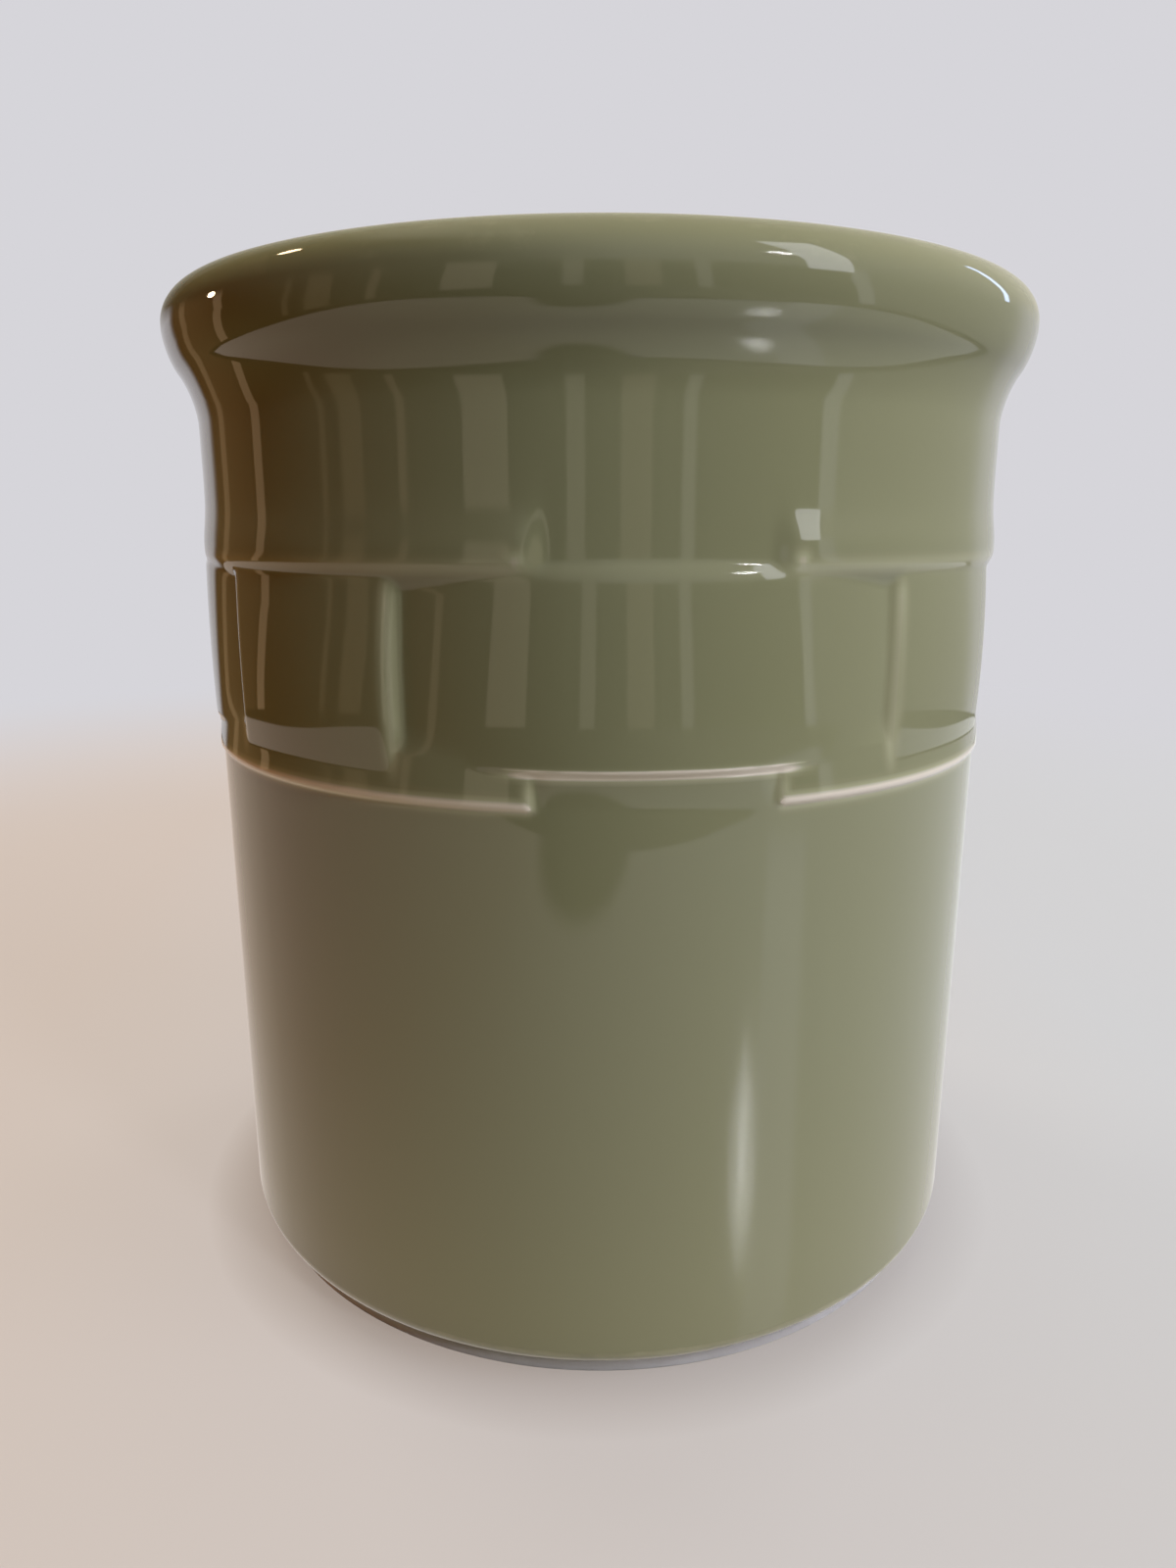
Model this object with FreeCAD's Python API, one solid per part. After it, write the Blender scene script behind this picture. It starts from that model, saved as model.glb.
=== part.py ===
import FreeCAD
import Part
import math
import os

# Utensil crock in glazed stoneware, in millimetres and degrees, standing on z = 0 about the z axis.
# A white clay body with a rolled rim, and a band of plain basket weave in low relief, carries three
# coats of glaze: outside, inside and under the base. Only its foot ring is bare.
# Radii and heights are those of the glazed surface. The roundings of edges are those of the clay.

# Whole crock
crock_height = 174.3
wall_radius = 73.2
wall_thickness = 7.0
floor_thickness = 7.0
glaze_thickness = 0.5

# Rolled rim, from the crest down to the neck
rim_overhang = 4.8               # widest point of the rim beyond the wall
rim_crown_height = 6.7           # from the widest point up to the crest
rim_flare_height = 15.4          # from the neck up to the widest point
flare_low_share = 0.56           # share of the flare that its lower, hollow arc takes
lip_radius = 3.0                 # rounding from the crest into the mouth

# Heights of the weave, from the neck down
neck_height = 10.2               # plain wall between the flare and the weave
upper_row_height = 12.0          # the top row fades into the wall over this height
middle_row_height = 27.4
lower_row_height = 5.8
recess_ease_height = 4.0         # over which the wall sinks behind the middle row, at its top and bottom
recess_drop = 1.0                # from the edges of the middle and top rows down to the ends of the recess

# Relief of the weave, above and below the plain wall
weave_repeats = 4                # each repeat has one upright in front of the middle row and one behind
front_upright_share = 0.65       # width of an upright in front, as a share of the pitch of the uprights
rear_upright_share = 0.62        # width of an upright behind, as a share of that pitch
recess_depth = 1.4               # of the wall behind the middle row
upright_rise = 0.75
upright_bow = 0.55               # swell of an upright between its two ends
row_sink = 0.4                   # depth at which a row that fades out ends under the wall
upper_row_rise = 0.7
upper_row_crown_height = 3.5     # highest line of the top row above its lower edge
middle_row_rise = 1.3            # where it passes over an upright
middle_row_dip = 0.6             # where it goes behind an upright
middle_row_lap = 1.5             # shoulder of the middle row above the edge of the top row
middle_row_shoulder = 2.5
lower_row_rise = 0.7
lower_row_lean_height = 12.9     # height over which the lowest row leans out from under the wall
ledge_slope = 59.0               # underside of the lowest row, from level
row_edge_radius = 0.6
row_root_depth = 4.0             # depth to which the strips of the weave run into the wall
row_tuck = 3.2                   # length of each end of the middle row hidden behind an upright

# Heel and foot
heel_radius = 3.6
foot_height = 2.6                # underside of the glazed heel and base
foot_inset = 3.0                 # foot ring inside the wall
foot_width = 5.0
foot_edge_radius = 0.6
base_glaze_margin = 1.0          # bare line between the glaze under the base and the foot ring

# Inside
floor_corner_radius = 8.0

# How far a cutting solid runs past what it cuts
overrun = 5.0

# Derived radii and heights
inner_radius = wall_radius - wall_thickness
rim_radius = wall_radius + rim_overhang
crest_radius = inner_radius + lip_radius + glaze_thickness
rim_level = crock_height - rim_crown_height
neck_level = rim_level - rim_flare_height
fade_level = neck_level - neck_height
upper_ledge = fade_level - upper_row_height
middle_ledge = upper_ledge - middle_row_height
lower_ledge = middle_ledge - lower_row_height
recess_high = upper_ledge - recess_drop
recess_low = middle_ledge - recess_drop
floor_level = foot_height + floor_thickness
foot_radius = wall_radius - foot_inset
foot_inner_radius = foot_radius - foot_width
root_radius = wall_radius - row_root_depth

# Derived angles of the weave
upright_pitch = 180.0 / weave_repeats
front_half_angle = upright_pitch * front_upright_share / 2
rear_half_angle = upright_pitch * rear_upright_share / 2
rear_angles = [2 * upright_pitch * count for count in range(weave_repeats)]
front_angles = [angle + upright_pitch for angle in rear_angles]

# Two points nearer than this are one point
coincident = 1e-6

up = FreeCAD.Vector(0, 0, 1)


def outline(corners):
    """Face in the xz plane through (radius, height, rounding) corners, with arcs at the rounded ones."""
    points = [FreeCAD.Vector(radius, 0, height) for radius, height, rounding in corners]
    bends = []
    for index, (radius, height, rounding) in enumerate(corners):
        point = points[index]
        back = (points[index - 1] - point).normalize()
        ahead = (points[(index + 1) % len(points)] - point).normalize()
        half_angle = back.getAngle(ahead) / 2
        run = rounding / math.tan(half_angle)
        inward = (back + ahead).normalize()
        middle = point + inward * (rounding / math.sin(half_angle) - rounding)
        bends.append((point + back * run, middle, point + ahead * run))
    edges = []
    for index, (start, middle, end) in enumerate(bends):
        if start.distanceToPoint(end) > coincident:
            edges.append(Part.Arc(start, middle, end).toShape())
        next_start = bends[(index + 1) % len(bends)][0]
        if end.distanceToPoint(next_start) > coincident:
            edges.append(Part.LineSegment(end, next_start).toShape())
    return Part.Face(Part.Wire(edges))


def ease(low_radius, low_height, high_radius, high_height, low_share=0.5):
    """Two rounded corners that lead one upright line into another, the lower as large as low_share says."""
    step = high_radius - low_radius
    rise = high_height - low_height
    square = step * step + rise * rise
    runs = square / (2 * rise)
    roundings = square / (2 * abs(step))
    high_share = 1 - low_share
    low_corner = (low_radius, low_height + runs * low_share, roundings * low_share)
    high_corner = (high_radius, high_height - runs * high_share, roundings * high_share)
    return [low_corner, high_corner]


def crown(outer_radius, low_height, crest, high_height):
    """Two rounded corners that lead an upright line over to a level crest, leaning at 45 degrees between."""
    lean = math.sqrt(0.5)
    reach = outer_radius - crest
    rise = high_height - low_height
    low_run = (rise * (1 + lean) - reach * lean) / (1 + 2 * lean)
    high_run = (reach * (1 + lean) - rise * lean) / (1 + 2 * lean)
    half_turn = math.tan(math.radians(22.5))
    low_corner = (outer_radius, low_height + low_run, low_run / half_turn)
    high_corner = (crest + high_run, high_height, high_run / half_turn)
    return [low_corner, high_corner]


def turned(corners, centre_angle=0.0, half_angle=180.0):
    """Solid that an outline sweeps about the z axis, to half_angle each side of centre_angle."""
    face = outline(corners)
    face.rotate(FreeCAD.Vector(), up, centre_angle - half_angle)
    return face.revolve(FreeCAD.Vector(), up, 2 * half_angle)


def upper_row(angle, inset):
    """Strip of the top row, over an upright: a ledge below, fading into the wall above."""
    face_radius = wall_radius + upper_row_rise - inset
    sunk_radius = wall_radius - row_sink - inset
    edge = row_edge_radius + glaze_thickness - inset
    corners = [(root_radius, upper_ledge + inset, 0), (face_radius, upper_ledge + inset, edge)]
    corners += ease(face_radius, upper_ledge + upper_row_crown_height, sunk_radius, fade_level)
    corners += [(sunk_radius, fade_level, 0), (root_radius, fade_level, 0)]
    half_angle = upright_pitch - rear_half_angle - math.degrees(inset / wall_radius)
    return turned(corners, angle, half_angle)


def middle_row(angle, inset):
    """Strip of the middle row, which swells over an upright behind it and dips behind its neighbours."""
    swell_angle = math.radians(upright_pitch - front_half_angle)
    shift = (middle_row_rise + middle_row_dip) / (1 - math.cos(swell_angle))
    face_radius = wall_radius + middle_row_rise - shift
    end_angle = swell_angle + row_tuck / wall_radius
    half_angle = math.degrees(math.asin(wall_radius * math.sin(end_angle) / face_radius))
    edge = row_edge_radius + glaze_thickness - inset
    shoulder = middle_row_shoulder + glaze_thickness - inset
    top = upper_ledge + middle_row_lap - inset
    corners = [
        (face_radius - row_root_depth, middle_ledge + inset, 0),
        (face_radius - inset, middle_ledge + inset, edge),
        (face_radius - inset, top, shoulder),
        (face_radius - row_root_depth, top, 0),
    ]
    strip = turned(corners, angle, half_angle)
    strip.translate(FreeCAD.Vector(math.cos(math.radians(angle)), math.sin(math.radians(angle)), 0) * shift)
    return strip


def lower_row(angle, inset):
    """Strip of the lowest row, which leans out from the wall to a lip with a sloping underside."""
    lip = wall_radius + lower_row_rise - inset
    sunk_radius = wall_radius - row_sink - inset
    top = lower_ledge + lower_row_lean_height
    edge = row_edge_radius + glaze_thickness - inset
    underside = math.tan(math.radians(ledge_slope))
    corners = [
        (root_radius, lower_ledge + inset - (lip - root_radius) * underside, 0),
        (lip, lower_ledge + inset, edge),
        (sunk_radius, top, 0),
        (root_radius, top, 0),
    ]
    half_angle = upright_pitch - rear_half_angle - math.degrees(inset / wall_radius)
    return turned(corners, angle, half_angle)


def front_upright(angle, inset):
    """Upright in front of the middle row, bowed between the two rows that hold its ends."""
    end_radius = wall_radius + upright_rise - upright_bow - inset
    low = lower_ledge + lower_row_height / 3
    high = upper_ledge + upper_row_crown_height / 2
    half_height = (high - low) / 2
    corner_reach = 2 * upright_bow
    rounding = math.hypot(half_height, corner_reach) * half_height / corner_reach
    corners = [
        (root_radius, low, 0),
        (end_radius, low, 0),
        (end_radius + corner_reach, low + half_height, rounding),
        (end_radius, high, 0),
        (root_radius, high, 0),
    ]
    return turned(corners, angle, front_half_angle - math.degrees(inset / wall_radius))


def outer_form(inset):
    """Solid inside the face of the glaze, or of the clay at an inset of glaze_thickness."""
    wall = wall_radius - inset
    recess = wall - recess_depth
    crest = crock_height - inset
    base = foot_height + inset
    corners = [(0, base, 0), (wall, base, heel_radius + glaze_thickness - inset)]
    corners += ease(wall, recess_low, recess, recess_low + recess_ease_height)
    corners += ease(recess, recess_high - recess_ease_height, wall, recess_high)
    corners += ease(wall, neck_level, rim_radius - inset, rim_level, flare_low_share)
    corners += crown(rim_radius - inset, rim_level, crest_radius, crest)
    corners += [(0, crest, 0)]
    strips = [middle_row(angle, inset) for angle in rear_angles]
    for angle in front_angles:
        strips += [front_upright(angle, inset), upper_row(angle, inset), lower_row(angle, inset)]
    return turned(corners).fuse(strips)


def mouth_form(growth):
    """Solid that fills the hollow to the liner glaze, or to the clay at a growth of glaze_thickness."""
    radius = inner_radius + growth
    floor = floor_level - growth
    crest = crock_height - growth
    return turned([
        (0, floor, 0),
        (radius, floor, floor_corner_radius + growth),
        (radius, crest, lip_radius + glaze_thickness - growth),
        (crest_radius, crest, 0),
        (crest_radius, crock_height + overrun, 0),
        (0, crock_height + overrun, 0),
    ])


def foot_ring():
    """Bare ring of clay that the crock stands on, up to the underside of its floor."""
    top = foot_height + glaze_thickness + heel_radius
    return turned([
        (foot_inner_radius, 0, foot_edge_radius),
        (foot_radius, 0, foot_edge_radius),
        (foot_radius, top, 0),
        (foot_inner_radius, top, 0),
    ])


def clay_body():
    """White clay: wall, floor, rim, weave and foot ring in one."""
    return outer_form(glaze_thickness).fuse(foot_ring()).cut(mouth_form(glaze_thickness)).removeSplitter()


def outer_glaze():
    """Coat outside, from the crest of the rim down and round the heel to the foot ring."""
    mouth = Part.makeCylinder(crest_radius, crock_height + overrun)
    foot = Part.makeCylinder(foot_radius, foot_height + glaze_thickness + heel_radius)
    skin = outer_form(0).cut(outer_form(glaze_thickness))
    return skin.cut(mouth).cut(foot).removeSplitter()


def liner_glaze():
    """Coat inside, from the crest of the rim down over the floor."""
    return mouth_form(glaze_thickness).cut(mouth_form(0))


def base_glaze():
    """Coat under the base, inside the foot ring."""
    radius = foot_inner_radius - base_glaze_margin
    return Part.makeCylinder(radius, glaze_thickness, FreeCAD.Vector(0, 0, foot_height))


nodes = {
    "clay_body": clay_body,
    "outer_glaze": outer_glaze,
    "liner_glaze": liner_glaze,
    "base_glaze": base_glaze,
}

os.makedirs("parts", exist_ok=True)
for name, make in nodes.items():
    shape = make()
    solids = Part.Compound(shape.Solids)
    solids.exportStep("parts/" + name + ".step")
    box = shape.BoundBox
    print(name, "solids", len(shape.Solids), "valid", shape.isValid(), "volume", round(shape.Volume, 1),
          "box", [round(value, 2) for value in (box.XMin, box.YMin, box.ZMin, box.XMax, box.YMax, box.ZMax)])
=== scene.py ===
import math

import bmesh
import bpy
from mathutils import Matrix, Vector


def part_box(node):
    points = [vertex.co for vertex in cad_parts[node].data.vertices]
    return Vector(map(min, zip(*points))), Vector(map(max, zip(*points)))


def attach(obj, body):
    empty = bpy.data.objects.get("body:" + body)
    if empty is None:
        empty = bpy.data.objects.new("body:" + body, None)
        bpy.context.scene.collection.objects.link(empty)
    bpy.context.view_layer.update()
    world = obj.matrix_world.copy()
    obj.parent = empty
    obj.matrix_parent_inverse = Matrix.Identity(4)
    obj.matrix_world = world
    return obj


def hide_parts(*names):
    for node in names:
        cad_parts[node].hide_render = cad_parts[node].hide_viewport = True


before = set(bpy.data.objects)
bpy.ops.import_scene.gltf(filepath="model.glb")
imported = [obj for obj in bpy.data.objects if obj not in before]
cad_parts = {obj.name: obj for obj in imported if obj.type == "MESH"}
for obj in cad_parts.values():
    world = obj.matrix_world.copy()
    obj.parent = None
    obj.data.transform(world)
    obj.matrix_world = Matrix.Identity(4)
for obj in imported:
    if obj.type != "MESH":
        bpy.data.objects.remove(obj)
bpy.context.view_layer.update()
print("frame loaded:", ", ".join(sorted(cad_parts)))

mm = 0.001  # shapes are worked out in millimetres and scaled to metres at the end


# sizes that the frame gives, in mm
def nodeBox(node):
    low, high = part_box(node)
    return low / mm, high / mm


outerHigh = nodeBox("outer_glaze")[1]
linerLow, linerHigh = nodeBox("liner_glaze")
baseLow, baseHigh = nodeBox("base_glaze")
glazeThickness = baseHigh.z - baseLow.z
rimRadius = outerHigh.x
crestHeight = outerHigh.z
crestRadius = linerHigh.x
floorLevel = linerLow.z + glazeThickness
footHeight = baseLow.z
baseRadius = baseHigh.x


def linear(hexColour):  # sRGB hex to the linear RGBA that sockets take
    parts = [int(hexColour[i:i + 2], 16) / 255 for i in (1, 3, 5)]
    return [c / 12.92 if c <= 0.04045 else ((c + 0.055) / 1.055) ** 2.4 for c in parts] + [1.0]


def addNode(tree, kind, sockets=None, **settings):  # a socket takes a value or a (node, output) pair
    node = tree.nodes.new(kind)
    for name, value in settings.items():
        setattr(node, name, value)
    for name, value in (sockets or {}).items():
        if isinstance(value, tuple) and isinstance(value[0], bpy.types.Node):
            tree.links.new(value[0].outputs[value[1]], node.inputs[name])
        else:
            node.inputs[name].default_value = value
    return node


def newMaterial(name):
    material = bpy.data.materials.new(name)
    material.use_nodes = True
    material.node_tree.nodes.clear()
    return material, material.node_tree


def setRamp(node, stops):  # stops are (position, colour) pairs in rising order
    ramp = node.color_ramp
    while len(ramp.elements) < len(stops):
        ramp.elements.new(0.5)
    for element, (position, colour) in zip(ramp.elements, stops):
        element.position = position
        element.color = colour


def ramp01(value, low, high):
    share = min(max((value - low) / (high - low), 0.0), 1.0)
    return share * share * (3.0 - 2.0 * share)


def softMax(a, b, blend):
    lap = max(blend - abs(a - b), 0.0) / blend
    return max(a, b) + lap * lap * blend / 4


def softMin(a, b, blend):
    return -softMax(-a, -b, blend)


# basket weave pressed into the wall: eight uprights, four in front of the middle row and four behind it
weave = {
    "repeats": 4,
    "fadeLevel": 140.5,          # heights in mm, from the top down
    "fadeReach": 4.0,            # the relief sinks into the neck this far either way
    "upperCrown": 132.0,
    "middleTop": 131.8,
    "upperLedge": 130.0,
    "groundTop": (126.0, 129.5),
    "groundLow": (101.6, 105.6),
    "middleLedge": 102.2,
    "lowerTop": 104.5,
    "lowerLedge": 96.8,
    "groundDepth": 1.45,         # how far the wall sinks behind the middle row
    "uprightEdge": 30.4,         # degrees from the middle of a rear upright to the side of a front one
    "uprightRise": 0.8,
    "uprightBow": 0.8,
    "uprightSide": 0.65,         # slopes are mm of rise for each mm along the wall
    "uprightBlend": 0.9,         # a blend is how far an edge is softened, in mm of relief
    "middleRise": 1.3,
    "middleDip": 0.75,
    "middleBow": 0.35,
    "middleShoulder": 2.6,
    "coveRise": 0.5,             # the wall curves out under the middle row
    "coveHeight": 6.0,
    "coveFade": (-2.0, 1.0),     # degrees from the end of the lower row, between which the cove ends
    "upperRise": 0.8,
    "upperUnderside": 1.0,
    "upperBlend": 1.3,
    "upperEnd": 12.6,
    "upperEndSlope": 0.5,
    "upperEndBlend": 1.3,
    "lowerRise": 0.7,
    "lowerBlend": 0.9,
    "lowerLean": 0.085,
    "lowerEnd": 13.8,
    "lowerEndSlope": 0.9,
    "lowerEndBlend": 0.8,
    "ledgeSlope": 1.8,
    "ledgeBlend": 0.45,
    "middleBlend": 0.8,
    "hollowBlends": {"middle": 0.25, "upright": 0.25, "upper": 0.5, "lower": 0.1},
    # thin glaze on an edge: how thin, how far it reaches and how far past the edge it lies, in mm. On the
    # lips of the rows this is partly thin glaze and partly a painted sheen of the pale table mirrored there;
    # on the upper row's end it is a painted highlight
    "uprightThin": (0.5, 1.2, 0.5),
    "lowerEndThin": (0.5, 1.0, 1.0),
    "lowerLipThinAndPaintedSheen": (1.2, 1.0, 0.35),
    "middleLipThinAndPaintedSheen": (1.6, 0.65, -0.2),
    "upperLipThinAndPaintedSheen": (0.42, 1.1, 0.4),
    # a painted highlight on the rounded end of the upper row, in the pale colour of thin glaze
    "upperEndPaintedHighlight": (0.6, 1.4, 0.0),
    "upperEndHighlightSpot": (3.8, 1.4),  # mm along and up from the corner of the upper row, to the middle of its painted highlight
    "lipStarts": {"lower": 1.0, "middle": 5.0, "upper": 3.0},   # degrees over which a thin lip, with its painted sheen, starts
    "uprightFades": (3.0, 4.0),  # mm over which a thin edge of an upright fades at its foot and head
    "lowerEndFades": (0.8, 2.0, 0.8),
}


def weaveTurn(angle):  # degrees: 0 on a rear upright, 45 on a front one
    pitch = 180.0 / weave["repeats"]
    return abs((angle + pitch) % (2 * pitch) - pitch)


def weaveRelief(angle, height, wallRadius):  # mm in or out from the plain wall
    w = weave
    turn = weaveTurn(angle)
    along = math.radians(1.0) * wallRadius              # mm of wall for each degree
    low, mid, high = w["lowerLedge"], w["middleLedge"], w["upperLedge"]
    centre, half = (low + high) / 2, (high - low) / 2
    ground = -w["groundDepth"] * ramp01(height, *w["groundLow"]) * (1 - ramp01(height, *w["groundTop"]))
    cove = max(1 - (mid - height) / w["coveHeight"], 0.0) if height < mid else 0.0
    coveEnds = [w["lowerEnd"] + step for step in w["coveFade"]]
    ground += w["coveRise"] * cove * cove * (1 - ramp01(turn, *coveEnds))
    bow = ((height - centre) / half) ** 2
    # middle row: swells over the rear upright, dips behind its neighbours
    sweep = (1 - math.cos(math.radians(turn))) / (1 - math.cos(math.radians(w["uprightEdge"])))
    face = w["middleRise"] - (w["middleRise"] + w["middleDip"]) * sweep - w["middleBow"] * bow
    middle = softMin(face, face + (height - mid) * w["ledgeSlope"], w["middleBlend"])
    middle = softMin(middle, w["middleTop"] - height, w["middleShoulder"])
    # front upright: bowed between the rows that hold its ends
    side = (turn - w["uprightEdge"]) * along * w["uprightSide"]
    upright = softMin(w["uprightRise"] - w["uprightBow"] * bow, side, w["uprightBlend"])
    upright = softMin(upright, (height - low) * w["ledgeSlope"], w["ledgeBlend"])
    # upper row: a soft roll over the front uprights that sinks into the wall at the rear ones
    end = (turn - w["upperEnd"]) * along * w["upperEndSlope"]
    bulge = w["upperRise"] * (1 - ramp01(height, w["upperCrown"], w["fadeLevel"]))
    upper = softMin(bulge, bulge + (height - high) * w["upperUnderside"], w["upperBlend"])
    upper = softMin(upper, end, w["upperEndBlend"])
    # lower row: leans out to a crisp lower lip
    end = (turn - w["lowerEnd"]) * along * w["lowerEndSlope"]
    lean = w["lowerRise"] - (height - low) * w["lowerLean"]
    lower = softMin(lean, w["lowerRise"] + (height - low) * w["ledgeSlope"], w["lowerBlend"])
    lower = softMin(lower, w["lowerTop"] - height, w["ledgeBlend"])
    lower = softMin(lower, end, w["lowerEndBlend"])
    relief = ground
    for name, layer in (("middle", middle), ("upright", upright), ("upper", upper), ("lower", lower)):
        relief = softMax(relief, layer, w["hollowBlends"][name])
    return relief * (1 - ramp01(height, w["fadeLevel"] - w["fadeReach"], w["fadeLevel"] + w["fadeReach"]))


def weaveThinnessAndPaintedSheen(angle, height, wallRadius):  # 0 on plain glaze, 0.5 where it runs thin, 1 where clay shows; on the lips of the rows it also holds a painted sheen of the table's reflection, and on the upper row's ends a painted highlight
    w = weave
    turn = weaveTurn(angle)
    along = math.radians(1.0) * wallRadius
    low, mid, high = w["lowerLedge"], w["middleLedge"], w["upperLedge"]

    def near(distance, thin):
        peak, reach, past = thin
        return peak * math.exp(-((distance - past) / reach) ** 2)

    starts = w["lipStarts"]
    foot, head = w["uprightFades"]
    held = ramp01(height, low, mid + foot) * (1 - ramp01(height, high - head, high))
    upright = near((turn - w["uprightEdge"]) * along, w["uprightThin"]) * held
    # lips: thin glaze on the ledges, plus a painted sheen where they mirror the pale table
    onLower = ramp01(turn, w["lowerEnd"], w["lowerEnd"] + starts["lower"])
    lip = near(height - low, w["lowerLipThinAndPaintedSheen"]) * onLower
    onMiddle = 1 - ramp01(turn, w["lowerEnd"], w["lowerEnd"] + starts["middle"])
    middleLip = near(height - mid, w["middleLipThinAndPaintedSheen"]) * onMiddle
    onUpper = ramp01(turn, w["upperEnd"], w["upperEnd"] + starts["upper"])
    upperLip = near(height - high, w["upperLipThinAndPaintedSheen"]) * onUpper
    under, over, past = w["lowerEndFades"]
    end = near((turn - w["lowerEnd"]) * along, w["lowerEndThin"])
    end *= ramp01(height, low - under, low) * (1 - ramp01(height, low + over, mid + past))
    # painted highlight on the rounded end of the upper row
    spotAlong, spotUp = w["upperEndHighlightSpot"]
    toSpot = math.hypot((turn - w["upperEnd"]) * along - spotAlong, height - high - spotUp)
    nubHighlight = near(toSpot, w["upperEndPaintedHighlight"])
    return max(upright, lip, middleLip, upperLip, end, nubHighlight)


# profiles are (radius, height, run of the rounding) corners in mm
profile = {
    "wallRadius": rimRadius - 4.8,
    "footRadius": rimRadius - 7.8,
    "footInnerRadius": baseRadius + 1.0,
    "innerRadius": crestRadius - 3.5,
    "heelHeight": 3.6,
    "heelRun": 3.1,
    "heelStart": 0.15,
    "flareTop": crestHeight - 6.7,
    "flareHeight": 15.4,
    "flareShare": 0.56,      # share of the flare that its lower arc takes
    "crown": [(0.0, 4.3, 1.65), (2.3, 1.1, 1.7), (6.2, 0.0, 1.9)],   # in from the rim, down, run
    "lipRun": 3.45,
    "floorRun": 8.0,
    "footEdgeRun": 0.6,
}

rowSpacing = [  # rows of the mesh are this far apart, in mm, up to each height
    (78.0, 12.0), (90.0, 1.5), (94.4, 0.8), (98.2, 0.4), (101.2, 0.8), (104.2, 0.4), (125.0, 2.3),
    (128.5, 0.9), (137.0, 0.6), (142.0, 1.4), (1000.0, 2.0),
]

columnZones = [(10.5, 4), (7.0, 16), (9.5, 5), (6.5, 13), (11.5, 5)]   # degrees and steps for half a pitch


meshing = {
    "wideRun": 2.5,           # a rounding with a longer run than this, in mm, gets more segments
    "wideSegments": 10,
    "narrowSegments": 5,
    "cornerMerge": 0.1,       # points nearer than this, in mm, become one
    "seamMerge": 0.02,
    "tolerance": 0.01,
    "columns": 144,           # around a plain piece
    "sharpest": 2.0,          # a sharper bend than this, in 1/mm, counts as this
}


def roundedProfile(bm, corners):  # open polyline in the xz plane, with its corners bevelled round
    verts = [bm.verts.new((radius, 0.0, height)) for radius, height, run in corners]
    for a, b in zip(verts, verts[1:]):
        bm.edges.new((a, b))
    for vert, (radius, height, run) in zip(verts, corners):
        if run:
            segments = meshing["wideSegments" if run > meshing["wideRun"] else "narrowSegments"]
            bmesh.ops.bevel(bm, geom=[vert], offset=run, offset_type="OFFSET", affect="VERTICES",
                            segments=segments, profile=0.5, material=-1)
    bmesh.ops.remove_doubles(bm, verts=bm.verts[:], dist=meshing["cornerMerge"])


def addRows(bm, spacings, beyondRadius=0.0):  # cuts the long edges of a profile into rows
    wall = [edge for edge in bm.edges if min(vert.co.x for vert in edge.verts) > beyondRadius]
    apart = meshing["cornerMerge"]
    for top, _ in spacings[:-1]:
        for edge in wall[:]:
            a, b = edge.verts
            lower, upper = sorted((a.co.z, b.co.z))
            upright = abs(a.co.x - b.co.x) < meshing["tolerance"]
            if upright and lower < top - apart and upper > top + apart:
                cut = bmesh.utils.edge_split(edge, a, (top - a.co.z) / (b.co.z - a.co.z))
                wall.append(cut[0])
    for edge in wall:
        middle = (edge.verts[0].co.z + edge.verts[1].co.z) / 2
        spacing = next(gap for top, gap in spacings if middle < top)
        cuts = math.ceil(edge.calc_length() / spacing - meshing["tolerance"]) - 1
        if cuts > 0:
            bmesh.ops.subdivide_edges(bm, edges=[edge], cuts=cuts)


def spinWhole(bm):
    bmesh.ops.spin(bm, geom=bm.verts[:] + bm.edges[:], cent=(0, 0, 0), axis=(0, 0, 1), angle=2 * math.pi,
                   steps=meshing["columns"], use_merge=True, use_duplicate=False)
    bmesh.ops.remove_doubles(bm, verts=bm.verts[:], dist=meshing["seamMerge"])


def spinWeave(bm):  # one repeat of the weave in zones of columns, there and back, then the repeats
    geom = bm.verts[:] + bm.edges[:]
    for angle, steps in columnZones + columnZones[::-1]:
        spun = bmesh.ops.spin(bm, geom=geom, cent=(0, 0, 0), axis=(0, 0, 1), angle=math.radians(angle),
                              steps=steps, use_merge=False, use_duplicate=False)
        geom = spun["geom_last"]
    repeat = bm.verts[:] + bm.edges[:] + bm.faces[:]
    for count in range(1, weave["repeats"]):
        copy = bmesh.ops.duplicate(bm, geom=repeat)["geom"]
        turned = Matrix.Rotation(2 * math.pi * count / weave["repeats"], 3, "Z")
        bmesh.ops.rotate(bm, verts=[item for item in copy if isinstance(item, bmesh.types.BMVert)],
                         cent=(0, 0, 0), matrix=turned)
    bmesh.ops.remove_doubles(bm, verts=bm.verts[:], dist=meshing["seamMerge"])


def pressWeave(bm, wallRadius):  # moves the plain wall in and out into the weave
    thin = bm.verts.layers.float.new("glazeThinAndPaintedSheen")
    for vert in bm.verts:
        radius = math.hypot(vert.co.x, vert.co.y)
        if abs(radius - wallRadius) < meshing["tolerance"]:
            angle = math.degrees(math.atan2(vert.co.y, vert.co.x))
            relief = weaveRelief(angle, vert.co.z, wallRadius)
            vert[thin] = weaveThinnessAndPaintedSheen(angle, vert.co.z, wallRadius)
            vert.co.x *= 1 + relief / radius
            vert.co.y *= 1 + relief / radius


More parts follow.
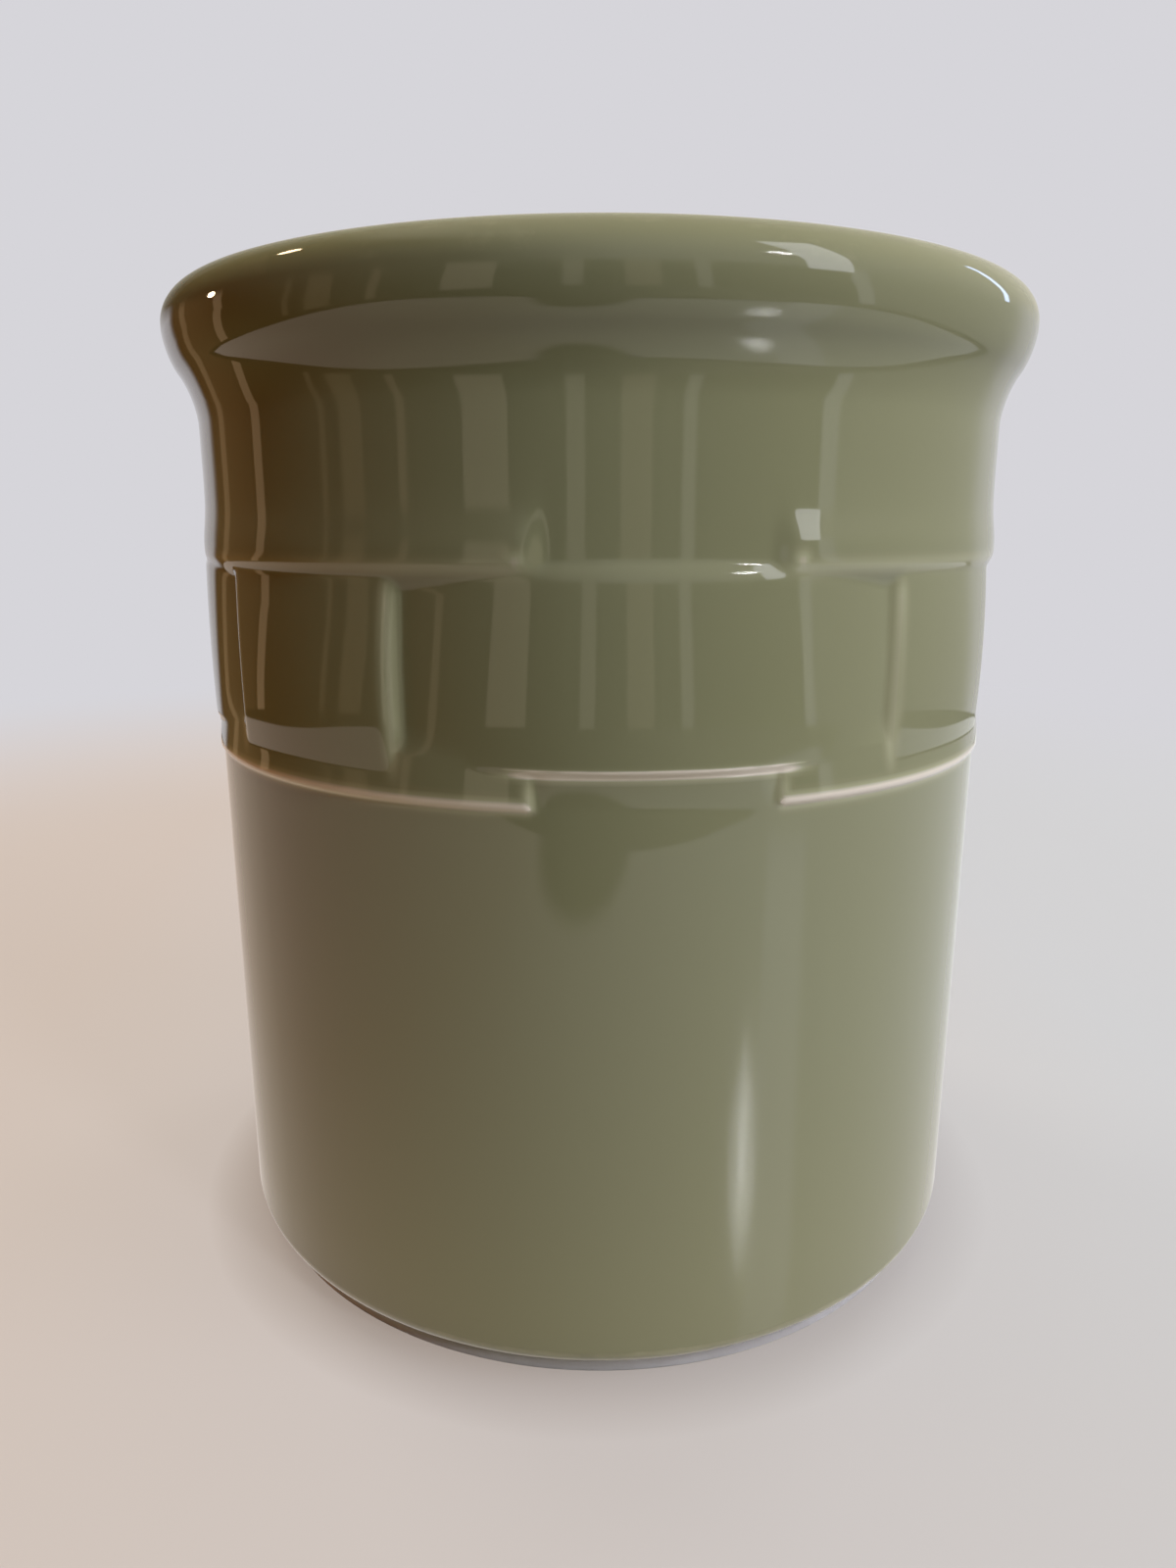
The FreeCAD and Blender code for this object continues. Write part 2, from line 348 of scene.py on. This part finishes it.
# how sharply the face bends, in 1/mm: above 0 on edges, below 0 in hollows
def measureBends(bm, passes, share=1.0):
    sharpest = meshing["sharpest"]
    layer = bm.verts.layers.float.new("glazeBend")
    bm.normal_update()
    for vert in bm.verts:
        bends = []
        for edge in vert.link_edges:
            step = edge.other_vert(vert).co - vert.co
            bends.append(-2.0 * vert.normal.dot(step) / step.length_squared)
        vert[layer] = share * max(min(sum(bends) / len(bends), sharpest), -sharpest)
    for _ in range(passes):
        smoothed = {}
        for vert in bm.verts:
            near = [edge.other_vert(vert)[layer] for edge in vert.link_edges]
            smoothed[vert] = 0.5 * vert[layer] + 0.5 * sum(near) / len(near)
        for vert, value in smoothed.items():
            vert[layer] = value


def finishPiece(bm, name, material, node, thickness=0.0):
    bmesh.ops.scale(bm, vec=(mm, mm, mm), verts=bm.verts[:])
    mesh = bpy.data.meshes.new(name)
    bm.to_mesh(mesh)
    bm.free()
    mesh.polygons.foreach_set("use_smooth", [True] * len(mesh.polygons))
    mesh.materials.append(material)
    piece = bpy.data.objects.new(name, mesh)
    bpy.context.scene.collection.objects.link(piece)
    if thickness:
        solid = piece.modifiers.new("coat thickness", "SOLIDIFY")
        solid.thickness = thickness * mm
        solid.offset = -1.0
    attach(piece, "root")
    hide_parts(node)
    print("made", name, "with", len(mesh.polygons), "faces")
    return piece


def faceOut(bm, awayFromAxis=True):
    bmesh.ops.recalc_face_normals(bm, faces=bm.faces[:])
    tallest = max(bm.faces, key=lambda face: face.calc_area())
    middle = tallest.calc_center_median()
    outward = Vector((middle.x, middle.y, 0.0)).dot(tallest.normal) > 0
    if outward != awayFromAxis:
        bmesh.ops.reverse_faces(bm, faces=bm.faces[:])


# sage green stoneware glaze, poured and fired: a glassy coat, thin and pale on edges, deep where it pools
sageGlaze = {
    "pool": "#6c6e4f",
    "body": "#8b8d6a",
    "thin": "#adae8b",
    "bare": "#e9e2cf",
    "roughness": 0.025,
    "ior": 1.52,
    "mottle": 7.0,                # mm across a cloud in the colour
    "mottleShift": (0.10, -0.05),
    "bendRange": (-0.4, 0.6),     # bends from the deepest hollow to the sharpest edge, in 1/mm
    "stops": [(0.10, "pool"), (0.37, "body"), (0.50, "body"), (0.57, "thin"), (0.66, "bare")],
    "thinRange": (0.50, 0.66),    # stops from plain glaze to bare clay
    "ripple": 11.0,               # mm between ripples in the glassy face
    "rippleDepth": 0.012,
}


def sageGlazeMaterial(name, settings):
    material, tree = newMaterial(name)
    output = addNode(tree, "ShaderNodeOutputMaterial")
    coords = addNode(tree, "ShaderNodeTexCoord")
    bend = addNode(tree, "ShaderNodeAttribute", attribute_name="glazeBend")
    clouds = addNode(tree, "ShaderNodeTexNoise", {
        "Vector": (coords, "Object"), "Scale": 1.0 / (settings["mottle"] * mm),
        "Detail": 4.0, "Roughness": 0.6})
    share, middle = settings["mottleShift"]
    drift = addNode(tree, "ShaderNodeMath", {
        0: (clouds, "Fac"), 1: share, 2: middle}, operation="MULTIPLY_ADD")
    worn = addNode(tree, "ShaderNodeMath", {0: (bend, "Fac"), 1: (drift, "Value")}, operation="ADD")
    hollow, edge = settings["bendRange"]
    place = addNode(tree, "ShaderNodeMapRange", {
        "Value": (worn, "Value"), "From Min": hollow, "From Max": edge})
    # thin glaze on edges, with a painted sheen on the lips of the rows and a painted highlight on the upper
    # row's ends
    thin = addNode(tree, "ShaderNodeAttribute", attribute_name="glazeThinAndPaintedSheen")
    plain, bare = settings["thinRange"]
    onEdges = addNode(tree, "ShaderNodeMapRange", {"Value": (thin, "Fac"), "To Min": plain, "To Max": bare})
    shown = addNode(tree, "ShaderNodeMath", {0: (place, "Result"), 1: (onEdges, "Result")},
                    operation="MAXIMUM")
    colour = addNode(tree, "ShaderNodeValToRGB", {"Fac": (shown, "Value")})
    setRamp(colour, [(position, linear(settings[shade])) for position, shade in settings["stops"]])
    ripples = addNode(tree, "ShaderNodeTexNoise", {
        "Vector": (coords, "Object"), "Scale": 1.0 / (settings["ripple"] * mm), "Detail": 1.0})
    bump = addNode(tree, "ShaderNodeBump", {
        "Height": (ripples, "Fac"), "Strength": 1.0, "Distance": settings["rippleDepth"] * mm})
    shader = addNode(tree, "ShaderNodeBsdfPrincipled", {
        "Base Color": (colour, "Color"), "Normal": (bump, "Normal"),
        "Roughness": settings["roughness"], "IOR": settings["ior"]})
    tree.links.new(shader.outputs["BSDF"], output.inputs["Surface"])
    return material


# bare white stoneware, wiped clean of glaze and fired: dry, matt and faintly gritty
bareClay = {
    "clean": "#cacaca",
    "stained": "#c1c0bf",
    "roughness": 0.75,
    "stain": 9.0,              # mm across a stain
    "stainStops": (0.35, 0.6),
    "grit": 0.6,               # mm across a grain
    "gritDepth": 0.05,
}


def bareClayMaterial(name, settings):
    material, tree = newMaterial(name)
    output = addNode(tree, "ShaderNodeOutputMaterial")
    coords = addNode(tree, "ShaderNodeTexCoord")
    stains = addNode(tree, "ShaderNodeTexNoise", {
        "Vector": (coords, "Object"), "Scale": 1.0 / (settings["stain"] * mm),
        "Detail": 5.0, "Roughness": 0.65})
    colour = addNode(tree, "ShaderNodeValToRGB", {"Fac": (stains, "Fac")})
    shades = linear(settings["stained"]), linear(settings["clean"])
    setRamp(colour, list(zip(settings["stainStops"], shades)))
    grit = addNode(tree, "ShaderNodeTexNoise", {
        "Vector": (coords, "Object"), "Scale": 1.0 / (settings["grit"] * mm), "Detail": 3.0})
    bump = addNode(tree, "ShaderNodeBump", {
        "Height": (grit, "Fac"), "Strength": 0.6, "Distance": settings["gritDepth"] * mm})
    shader = addNode(tree, "ShaderNodeBsdfPrincipled", {
        "Base Color": (colour, "Color"), "Normal": (bump, "Normal"), "Roughness": settings["roughness"]})
    tree.links.new(shader.outputs["BSDF"], output.inputs["Surface"])
    return material


def outsideCorners(inset):  # from the heel up to the crest, inset from the face of the glaze
    wall = profile["wallRadius"] - inset
    rim = rimRadius - inset
    overhang = rim - wall
    rise = profile["flareHeight"]
    run = (overhang ** 2 + rise ** 2) / (2 * rise)   # of the two arcs that make the flare
    lowRun = run * profile["flareShare"]
    bottom = profile["flareTop"] - rise
    return [
        (wall, profile["heelHeight"] + inset, profile["heelRun"]),
        (wall, bottom + lowRun, lowRun),
        (rim, profile["flareTop"] - run + lowRun, run - lowRun),
        *[(rim - inward, crestHeight - inset - down, turn) for inward, down, turn in profile["crown"]],
        (crestRadius, crestHeight - inset, 0.0),
    ]


def insideCorners(growth):  # from the crest down to the middle of the floor
    radius = profile["innerRadius"] + growth
    return [
        (crestRadius, crestHeight - growth, 0.0),
        (radius, crestHeight - growth, profile["lipRun"] - growth),
        (radius, floorLevel - growth, profile["floorRun"]),
        (0.0, floorLevel - growth, 0.0),
    ]


bendPasses = {"outer": 3, "liner": 6, "base": 1}   # how often the bends of each coat are evened out


def makeOuterGlaze(material):
    bm = bmesh.new()
    heel = (profile["footRadius"], footHeight + profile["heelStart"], 0.0)
    roundedProfile(bm, [heel] + outsideCorners(0.0))
    addRows(bm, rowSpacing)
    spinWeave(bm)
    faceOut(bm)
    pressWeave(bm, profile["wallRadius"])
    measureBends(bm, bendPasses["outer"])
    return finishPiece(bm, "outerGlaze", material, "outer_glaze", glazeThickness)


linerGlaze = {
    "rows": [(floorLevel + 10.0, 4.0), (160.0, 12.0), (1000.0, 1.5)],
    "bendShare": 0.7,          # the lip inside runs less thin than the edges outside
}


def makeLinerGlaze(material):
    bm = bmesh.new()
    roundedProfile(bm, insideCorners(0.0))
    addRows(bm, linerGlaze["rows"])
    spinWhole(bm)
    faceOut(bm, awayFromAxis=False)
    measureBends(bm, bendPasses["liner"], linerGlaze["bendShare"])
    return finishPiece(bm, "linerGlaze", material, "liner_glaze", glazeThickness)


baseGlaze = {"edgeShare": 0.8}   # share of its thickness that its edge is rounded by


def makeBaseGlaze(material):
    top = footHeight + glazeThickness
    edgeRun = glazeThickness * baseGlaze["edgeShare"]
    bm = bmesh.new()
    roundedProfile(bm, [(0.0, footHeight, 0.0), (baseRadius, footHeight, edgeRun),
                        (baseRadius, top, 0.0), (0.0, top, 0.0)])
    spinWhole(bm)
    bmesh.ops.recalc_face_normals(bm, faces=bm.faces[:])
    measureBends(bm, bendPasses["base"])
    return finishPiece(bm, "baseGlaze", material, "base_glaze")


clayBody = {"rowsInside": 1.0}   # its wall has the rows of the weave from this far inside the glaze, in mm


def makeClayBody(material):
    recess = footHeight + glazeThickness
    inner, outer, edgeRun = profile["footInnerRadius"], profile["footRadius"], profile["footEdgeRun"]
    foot = [(0.0, recess, 0.0), (inner, recess, 0.0), (inner, 0.0, edgeRun), (outer, 0.0, edgeRun),
            (outer, recess, 0.0)]
    bm = bmesh.new()
    roundedProfile(bm, foot + outsideCorners(glazeThickness) + insideCorners(glazeThickness)[1:])
    addRows(bm, rowSpacing, profile["wallRadius"] - clayBody["rowsInside"])
    spinWeave(bm)
    bmesh.ops.recalc_face_normals(bm, faces=bm.faces[:])
    pressWeave(bm, profile["wallRadius"] - glazeThickness)
    return finishPiece(bm, "clayBody", material, "clay_body")


sage = sageGlazeMaterial("sage stoneware glaze", sageGlaze)
clay = bareClayMaterial("bare white stoneware", bareClay)
makeOuterGlaze(sage)
makeLinerGlaze(sage)
makeBaseGlaze(sage)
makeClayBody(clay)


# pale table in a dim room: the crock mirrors the table near it, the room in front and a pale wall behind
studio = {
    # colours in pairs are those on the left and on the right, blended over this far either way of the axis
    "sideBlend": 0.15,            # lengths are in metres
    "table": "#b4b3b4",
    "tableGlow": ("#d9c8bc", "#d2d3d5"),     # evens out the table to the eye; its warmer left is painted warm lamplight and shadow on the table
    "tableShine": ("#d9c8bc", "#ebecee"),    # and in the glaze, with the same painted warm light on the left
    "tableBounce": ("#ecd5a6", "#2a2620"),   # light that the table throws on the crock
    "contactShade": ("#a48c76", "#c8c8ca"),  # table beside the foot
    "beyond": ("#1c1208", "#77766c"),        # floor past the table
    "glowShare": 0.75,
    "dullRoughness": 0.6,         # to the eye, which sees no lamps in the table
    "tableRoughness": 0.09,       # in the glaze
    "tableGloss": 0.12,           # share of the table's face that mirrors lamps into the glaze
    "glossSide": (-0.05, 0.05),   # the gloss sets in between these along X
    "glossFront": (-0.04, -0.08),  # and between these along Y
    "contactReach": (0.0705, 0.084),
    "bounceReach": (0.28, 0.10),  # none of the bounce past the first, all of it within the second
    "bounceBehind": "#a09f9c",
    "rearBlend": (0.0, 0.1),
    "tableEnd": 0.485,            # the lit table reaches this far, with round corners
    "tableFront": -0.36,
    "tableBack": 0.52,
    "tableRound": 3.0,
    "tableEdge": (1.0, 1.04),     # shares of its reach between which it ends
    "gap": (0.57, 0.58),          # a dark gap lies between the table and the room, which starts here
    "shade": (-0.065, -0.41),     # middle of a dim patch on the table in front of the crock
    "shadeReach": (0.08, 0.145),
    "shadeEdge": (1.05, 0.85),    # shares of its reach between which it darkens
    "fade": (0.30, 0.75),         # the table melts into the backdrop between these
    "floorReach": 6.0,
    "floorDrop": 0.1,             # mm below the foot
    "wall": "#d6d5da",
    "ambient": "#1c1814",         # dim warm light from all round
    "upper": ("#2c2014", "#d6d2c8"),  # walls above the room, on the left and in front
    "upperSides": (-0.6, 0.0),    # directions between which the one turns into the other
    "upperFrom": (0.12, 0.2),
    "ceiling": "#d2ccc0",
    "ceilingFrom": (0.8, 0.9),
    "room": [  # azimuth in degrees, 0 in front and 90 on the right, and the colour there
        (-144, "#d6d5da"), (-140, "#4a2c14"), (-128, "#6b4c30"), (-117, "#6b4c30"), (-107, "#2c1c0c"),
        (-75, "#1c1208"), (-29, "#1b1a12"), (8, "#26251d"), (53.5, "#3a3932"), (54, "#a3a29c"),
        (114, "#b4b3ae"), (124, "#d6d5da"),
    ],
    "stripes": [  # lit upright stripes in the room: middle and half width in degrees, and colour
        (-131.5, 2.0, "#a68460"), (-111.0, 2.0, "#dcb48a"), (-84.0, 1.0, "#957f5e"),
        (-74.5, 3.5, "#a08a68"), (-59.0, 1.3, "#b9a282"), (-36.0, 6.0, "#d8c8ae"),
        (-12.0, 2.0, "#cfc7b3"), (3.0, 4.0, "#c0b199"), (16.6, 1.8, "#dcd8cc"), (56.0, 2.2, "#ffffff"),
    ],
}


def roomColour(tree, x, y):  # colour of the room in the direction of (x, y), each a (node, output) pair
    ahead = addNode(tree, "ShaderNodeMath", {0: y, 1: -1.0}, operation="MULTIPLY")
    azimuth = addNode(tree, "ShaderNodeMath", {0: x, 1: (ahead, "Value")}, operation="ARCTAN2")
    around = addNode(tree, "ShaderNodeMapRange", {
        "Value": (azimuth, "Value"), "From Min": -math.pi, "From Max": math.pi})
    room = addNode(tree, "ShaderNodeValToRGB", {"Fac": (around, "Result")})
    setRamp(room, [(degrees / 360 + 0.5, linear(colour)) for degrees, colour in studio["room"]])
    for middle, half, colour in studio["stripes"]:
        inside = addNode(tree, "ShaderNodeMath", {
            0: (azimuth, "Value"), 1: math.radians(middle), 2: math.radians(half)}, operation="COMPARE")
        room = addNode(tree, "ShaderNodeMixRGB", {
            "Fac": (inside, "Value"), "Color1": (room, "Color"), "Color2": linear(colour)})
    return room


def tableMaterial():
    material, tree = newMaterial("pale table laminate")
    output = addNode(tree, "ShaderNodeOutputMaterial")
    path = addNode(tree, "ShaderNodeLightPath")
    coords = addNode(tree, "ShaderNodeTexCoord")
    place = addNode(tree, "ShaderNodeSeparateXYZ", {"Vector": (coords, "Object")})
    radius = addNode(tree, "ShaderNodeVectorMath", {0: (coords, "Object")}, operation="LENGTH")
    # the dim patch is an ellipse: 1 is its edge
    offset = addNode(tree, "ShaderNodeVectorMath", {
        0: (coords, "Object"), 1: (*studio["shade"], 0.0)}, operation="SUBTRACT")
    shares = addNode(tree, "ShaderNodeVectorMath", {
        0: (offset, "Vector"), 1: (*studio["shadeReach"], 1.0)}, operation="DIVIDE")
    away = addNode(tree, "ShaderNodeVectorMath", {0: (shares, "Vector")}, operation="LENGTH")
    # the table's outline: a share of its reach along X and one along Y, raised and added, is 1 at the edge
    reach = [addNode(tree, "ShaderNodeMath", {0: (place, axis), 1: studio[end]}, operation="DIVIDE")
             for axis, end in (("X", "tableEnd"), ("Y", "tableFront"), ("Y", "tableBack"))]
    sideways = addNode(tree, "ShaderNodeMath", {0: (reach[0], "Value")}, operation="ABSOLUTE")
    deep = addNode(tree, "ShaderNodeMath", {
        0: (reach[1], "Value"), 1: (reach[2], "Value")}, operation="MAXIMUM")
    raised = [addNode(tree, "ShaderNodeMath", {
        0: (share, "Value"), 1: studio["tableRound"]}, operation="POWER") for share in (sideways, deep)]
    outline = addNode(tree, "ShaderNodeMath", {
        0: (raised[0], "Value"), 1: (raised[1], "Value")}, operation="ADD")
    # how far each change over the table has gone, from 0 to 1
    blend = studio["sideBlend"]
    changes = {
        "across": ((place, "X"), (-blend, blend)),
        "rear": ((place, "Y"), studio["rearBlend"]),
        "glossSide": ((place, "X"), studio["glossSide"]),
        "glossFront": ((place, "Y"), studio["glossFront"]),
        "contact": ((radius, "Value"), studio["contactReach"]),
        "nearby": ((radius, "Value"), studio["bounceReach"]),
        "pastGap": ((radius, "Value"), studio["gap"]),
        "ended": ((outline, "Value"), studio["tableEdge"]),
        "shaded": ((away, "Value"), studio["shadeEdge"]),
    }
    gone = {}
    for name, (value, (start, end)) in changes.items():
        change = addNode(tree, "ShaderNodeMapRange", {"Value": value, "From Min": start, "From Max": end})
        gone[name] = (change, "Result")
    far = addNode(tree, "ShaderNodeMapRange", {
        "Value": (radius, "Value"), "From Min": studio["fade"][0], "From Max": studio["fade"][1]},
        interpolation_type="SMOOTHSTEP")
    colours = {}
    for name in ("tableGlow", "tableShine", "tableBounce", "contactShade", "beyond"):
        left, right = studio[name]
        mix = addNode(tree, "ShaderNodeMixRGB", {
            "Fac": gone["across"], "Color1": linear(left), "Color2": linear(right)})
        colours[name] = (mix, "Color")
    # to the eye: an even, dull table that melts into the backdrop
    beside = addNode(tree, "ShaderNodeMixRGB", {
        "Fac": gone["contact"], "Color1": colours["contactShade"], "Color2": colours["tableGlow"]})
    glow = addNode(tree, "ShaderNodeEmission", {"Color": (beside, "Color")})
    dull = addNode(tree, "ShaderNodeBsdfPrincipled", {
        "Base Color": linear(studio["table"]), "Roughness": studio["dullRoughness"]})
    evened = addNode(tree, "ShaderNodeMixShader", {
        "Fac": studio["glowShare"], 1: (dull, "BSDF"), 2: (glow, "Emission")})
    backdrop = addNode(tree, "ShaderNodeEmission", {"Color": linear(studio["wall"])})
    seen = addNode(tree, "ShaderNodeMixShader", {
        "Fac": (far, "Result"), 1: (evened, "Shader"), 2: (backdrop, "Emission")})
    # on the crock: light that fades with the distance
    bounceColour = addNode(tree, "ShaderNodeMixRGB", {
        "Fac": gone["rear"], "Color1": colours["tableBounce"], "Color2": linear(studio["bounceBehind"])})
    bounced = addNode(tree, "ShaderNodeMath", {0: gone["nearby"], 1: gone["contact"]}, operation="MULTIPLY")
    bounce = addNode(tree, "ShaderNodeEmission", {
        "Color": (bounceColour, "Color"), "Strength": (bounced, "Value")})
    # in the glaze: the lit table with some gloss, then a dark gap, then the room
    shine = addNode(tree, "ShaderNodeEmission", {"Color": colours["tableShine"]})
    gloss = addNode(tree, "ShaderNodeBsdfPrincipled", {
        "Metallic": 1.0, "Base Color": linear("#ffffff"), "Roughness": studio["tableRoughness"]})
    front = addNode(tree, "ShaderNodeMath", {
        0: gone["glossSide"], 1: gone["glossFront"]}, operation="MULTIPLY")
    glossShare = addNode(tree, "ShaderNodeMath", {
        0: (front, "Value"), 1: studio["tableGloss"]}, operation="MULTIPLY")
    shiny = addNode(tree, "ShaderNodeMixShader", {
        "Fac": (glossShare, "Value"), 1: (shine, "Emission"), 2: (gloss, "BSDF")})
    room = roomColour(tree, (place, "X"), (place, "Y"))
    pastTable = addNode(tree, "ShaderNodeMixRGB", {
        "Fac": gone["pastGap"], "Color1": colours["beyond"], "Color2": (room, "Color")})
    dark = addNode(tree, "ShaderNodeEmission", {"Color": (pastTable, "Color")})
    unlit = addNode(tree, "ShaderNodeMath", {0: gone["ended"], 1: gone["shaded"]}, operation="MAXIMUM")
    mirrored = addNode(tree, "ShaderNodeMixShader", {
        "Fac": (unlit, "Value"), 1: (shiny, "Shader"), 2: (dark, "Emission")})
    lit = addNode(tree, "ShaderNodeMixShader", {
        "Fac": (path, "Is Glossy Ray"), 1: (bounce, "Emission"), 2: (mirrored, "Shader")})
    both = addNode(tree, "ShaderNodeMixShader", {
        "Fac": (path, "Is Camera Ray"), 1: (lit, "Shader"), 2: (seen, "Shader")})
    tree.links.new(both.outputs["Shader"], output.inputs["Surface"])
    return material


def makeFloor():
    bm = bmesh.new()
    bmesh.ops.create_grid(bm, x_segments=1, y_segments=1, size=studio["floorReach"])
    bmesh.ops.translate(bm, verts=bm.verts[:], vec=(0, 0, -studio["floorDrop"] * mm))
    mesh = bpy.data.meshes.new("floor")
    bm.to_mesh(mesh)
    bm.free()
    mesh.materials.append(tableMaterial())
    floor = bpy.data.objects.new("floor", mesh)
    bpy.context.scene.collection.objects.link(floor)


def makeWorld():
    world = bpy.data.worlds.new("studio")
    bpy.context.scene.world = world
    world.use_nodes = True
    tree = world.node_tree
    tree.nodes.clear()
    output = addNode(tree, "ShaderNodeOutputWorld")
    coords = addNode(tree, "ShaderNodeTexCoord")
    look = addNode(tree, "ShaderNodeSeparateXYZ", {"Vector": (coords, "Generated")})
    room = roomColour(tree, (look, "X"), (look, "Y"))
    changes = [("X", studio["upperSides"]), ("Z", studio["upperFrom"]), ("Z", studio["ceilingFrom"])]
    side, raised, above = [addNode(tree, "ShaderNodeMapRange", {
        "Value": (look, axis), "From Min": ends[0], "From Max": ends[1]}) for axis, ends in changes]
    upper = addNode(tree, "ShaderNodeMixRGB", {
        "Fac": (side, "Result"), "Color1": linear(studio["upper"][0]), "Color2": linear(studio["upper"][1])})
    walls = addNode(tree, "ShaderNodeMixRGB", {
        "Fac": (raised, "Result"), "Color1": (room, "Color"), "Color2": (upper, "Color")})
    lid = addNode(tree, "ShaderNodeMixRGB", {
        "Fac": (above, "Result"), "Color1": (walls, "Color"), "Color2": linear(studio["ceiling"])})
    path = addNode(tree, "ShaderNodeLightPath")
    filled = addNode(tree, "ShaderNodeMixRGB", {
        "Fac": (path, "Is Diffuse Ray"), "Color1": (lid, "Color"), "Color2": linear(studio["ambient"])})
    seen = addNode(tree, "ShaderNodeMixRGB", {
        "Fac": (path, "Is Camera Ray"), "Color1": (filled, "Color"), "Color2": linear(studio["wall"])})
    light = addNode(tree, "ShaderNodeBackground", {"Color": (seen, "Color"), "Strength": 1.0})
    tree.links.new(light.outputs["Background"], output.inputs["Surface"])


# lamps: places and sizes in metres, power in watts
lampAim = (0.0, 0.0, 0.09)
lightingLamps = {  # these light the crock and don't show in its gloss
    "window": {"at": (0.95, -0.45, 0.62), "size": (0.6, 0.6), "power": 9.0, "colour": "#efeeff"},
    "overhead": {"at": (0.05, 0.08, 1.5), "size": (0.5, 0.5), "power": 5.6, "colour": "#ffe8a2"},
    "front": {"at": (0.97, -1.31, 0.96), "size": (0.3, 0.3), "power": 14.5, "colour": "#fffaff"},
    "sideLamp": {"at": (-0.9, 0.1, 0.3), "size": (0.4, 0.4), "power": 1.4, "colour": "#ff8c1a"},
    "backLamp": {"at": (-0.6, 0.7, 0.8), "size": (0.5, 0.5), "power": 8.0, "colour": "#fff2e2"},
    "backLight": {"at": (0.7, 0.6, 0.6), "size": (0.4, 0.4), "power": 5.0, "colour": "#eef2ff"},
}
mirroredLamps = {  # these show in its gloss alone
    "bulb": {"at": (0.97, -1.31, 0.96), "size": (0.18, 0.18), "power": 60.0, "colour": "#ffffff"},
    "highLamp": {"at": (-0.82, 0.34, 1.0), "size": (0.11, 0.11), "power": 0.7, "colour": "#ffd9ae"},
    "lowLamp": {"at": (-1.43, 0.57, 0.41), "size": (0.09, 0.09), "power": 0.8, "colour": "#ffd9ae"},
    "panes": {"at": (1.0, -0.93, 0.85), "size": (0.35, 1.1), "power": 4.5, "colour": "#f4f6ff"},
    "skylight": {"at": (1.34, 0.44, 0.66), "size": (0.07, 0.6), "power": 0.8, "colour": "#bcd2ff"},
}


def makeLamps(lamps, inGloss):
    for name, lamp in lamps.items():
        light = bpy.data.lights.new(name, "AREA")
        light.shape = "ELLIPSE" if lamp["size"][0] == lamp["size"][1] else "RECTANGLE"
        light.size, light.size_y = lamp["size"]
        light.energy = lamp["power"]
        light.color = linear(lamp["colour"])[:3]
        holder = bpy.data.objects.new(name, light)
        holder.location = lamp["at"]
        toCrock = Vector(lampAim) - Vector(lamp["at"])
        holder.rotation_euler = toCrock.to_track_quat("-Z", "Y").to_euler()
        holder.visible_camera = False
        holder.visible_glossy = inGloss
        holder.visible_diffuse = not inGloss
        bpy.context.scene.collection.objects.link(holder)


# camera of the photograph, fitted to its outlines: 1200 x 1600 pixels, upright
cameraSettings = {
    "focalPixels": 1109.0,
    "imageHeight": 1600.0,
    "distance": 221.0,        # mm from the axis
    "height": 137.6,
    "sideways": -1.94,
    "pitchDown": 13.95,       # degrees
    "turn": 6.4,              # degrees to the left of the middle of a rear upright
    "roll": 0.0,
    "sensorHeight": 36.0,     # mm
    "clipStart": 0.005,       # metres
}


def makeCamera():
    c = cameraSettings
    camera = bpy.data.cameras.new("camera")
    camera.sensor_fit = "VERTICAL"
    camera.sensor_height = c["sensorHeight"]
    camera.lens = c["focalPixels"] / c["imageHeight"] * camera.sensor_height
    camera.clip_start = c["clipStart"]
    turn = math.radians(c["turn"])
    ahead = Vector((math.sin(turn), math.cos(turn), 0.0))
    right = Vector((math.cos(turn), -math.sin(turn), 0.0))
    holder = bpy.data.objects.new("camera", camera)
    holder.location = (-ahead * c["distance"] + right * c["sideways"] + Vector((0, 0, c["height"]))) * mm
    holder.rotation_euler = (math.radians(90.0 - c["pitchDown"]), math.radians(c["roll"]), -turn)
    bpy.context.scene.collection.objects.link(holder)
    bpy.context.scene.camera = holder


makeFloor()
makeWorld()
makeLamps(lightingLamps, inGloss=False)
makeLamps(mirroredLamps, inGloss=True)
makeCamera()
bpy.context.scene.view_settings.view_transform = "Standard"
print("stage, lamps and camera set")
